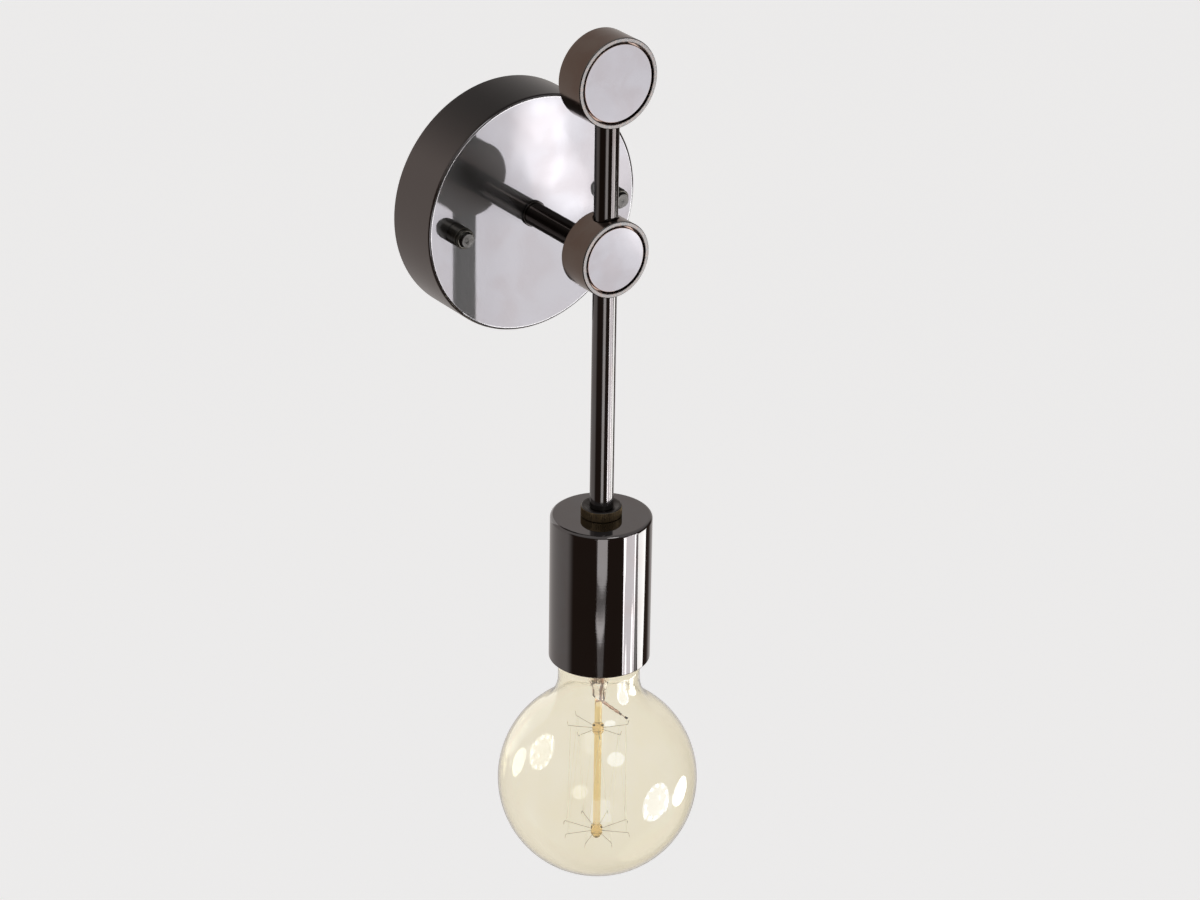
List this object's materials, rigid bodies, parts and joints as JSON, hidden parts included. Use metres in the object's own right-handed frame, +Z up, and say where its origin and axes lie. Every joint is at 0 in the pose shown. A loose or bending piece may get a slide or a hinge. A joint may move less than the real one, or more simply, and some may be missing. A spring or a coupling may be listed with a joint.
{
  "type": "wall sconce",
  "caption": "Wall sconce: round canopy, side arm, drum hub and top drum on a vertical rod, and a cup lampholder with a globe bulb that unscrews.",
  "frame": {"origin": "point of the wall plane on the side arm's axis, midway between the plate's two screw slots", "axes": "+Z up along the rods, +Y into the wall, -Y out to the room, +X to the right of someone facing it"},
  "size_m": [0.1142, 0.1335, 0.4236],
  "materials": {
    "dark_bronze": "polished dark patina, bare metal showing at the edges",
    "drum_face": "mirror-polished pale patina",
    "knurl_bronze": "satin olive-brown patina",
    "stud_steel": "bright turned steel",
    "blackened_steel": "blackened steel",
    "zinc_steel": "zinc-plated sheet steel",
    "ground_green": "green-dyed zinc plate",
    "block_plastic": "moulded off-white thermoset",
    "porcelain": "glazed white porcelain",
    "contact_brass": "bright brass",
    "wire_black": "black insulation",
    "wire_white": "white insulation",
    "amber_glass": "clear glass with a pale amber tint",
    "stem_glass": "clear glass, amber in the thick",
    "support_wire": "drawn wire",
    "filament_wire": "fine drawn tungsten",
    "cap_metal": "lacquered brass sheet",
    "black_glass": "opaque black glass",
    "solder": "dull solder"
  },
  "bodies": {
    "fixture": {"canopy": "dark_bronze", "mounting_plate": "zinc_steel", "mounting_studs": "stud_steel", "stud_jam_nuts": "zinc_steel", "round_nuts": "blackened_steel", "ground_screw": "ground_green", "terminal_block": "block_plastic", "block_screws": "contact_brass", "arm_collar": "dark_bronze", "arm_tube": "dark_bronze", "arm_lock_washer": "zinc_steel", "arm_locknut": "zinc_steel", "hub_body": "dark_bronze", "hub_cover": "drum_face", "upper_rod": "dark_bronze", "top_body": "dark_bronze", "top_cover": "drum_face", "lower_rod": "dark_bronze", "knurled_nut": "knurl_bronze", "socket_cup": "dark_bronze", "holder_bracket": "zinc_steel", "bracket_locknut": "zinc_steel", "bracket_screws": "zinc_steel", "holder_body": "porcelain", "screw_shell": "contact_brass", "centre_contact": "contact_brass", "terminal_clamps": "contact_brass", "terminal_screws": "zinc_steel", "live_wire": "wire_black", "neutral_wire": "wire_white"},
    "bulb_tip": {"cap_contact": "solder"},
    "bulb": {"bulb_glass": "amber_glass", "glass_stem": "stem_glass", "upper_hooks": "support_wire", "lower_hooks": "support_wire", "filament": "filament_wire", "lead_wires": "support_wire", "bulb_cap": "cap_metal", "cap_insulator": "black_glass"}
  },
  "joints": [
    {"name": "bulb_withdraw", "type": "slide", "parent": "fixture", "child": "bulb_tip", "axis": [0, 0, -1], "range_m": [0, 0.01815]},
    {"name": "bulb_unscrew", "type": "hinge", "parent": "bulb_tip", "child": "bulb", "pos_m": [0, -0.086, -0.2045], "axis": [0, 0, -1], "range_deg": [0, 1800]}
  ],
  "couplings": [
    {"joint": "bulb_withdraw", "follows": "bulb_unscrew", "m_per_rad": 0.00057757}
  ]
}
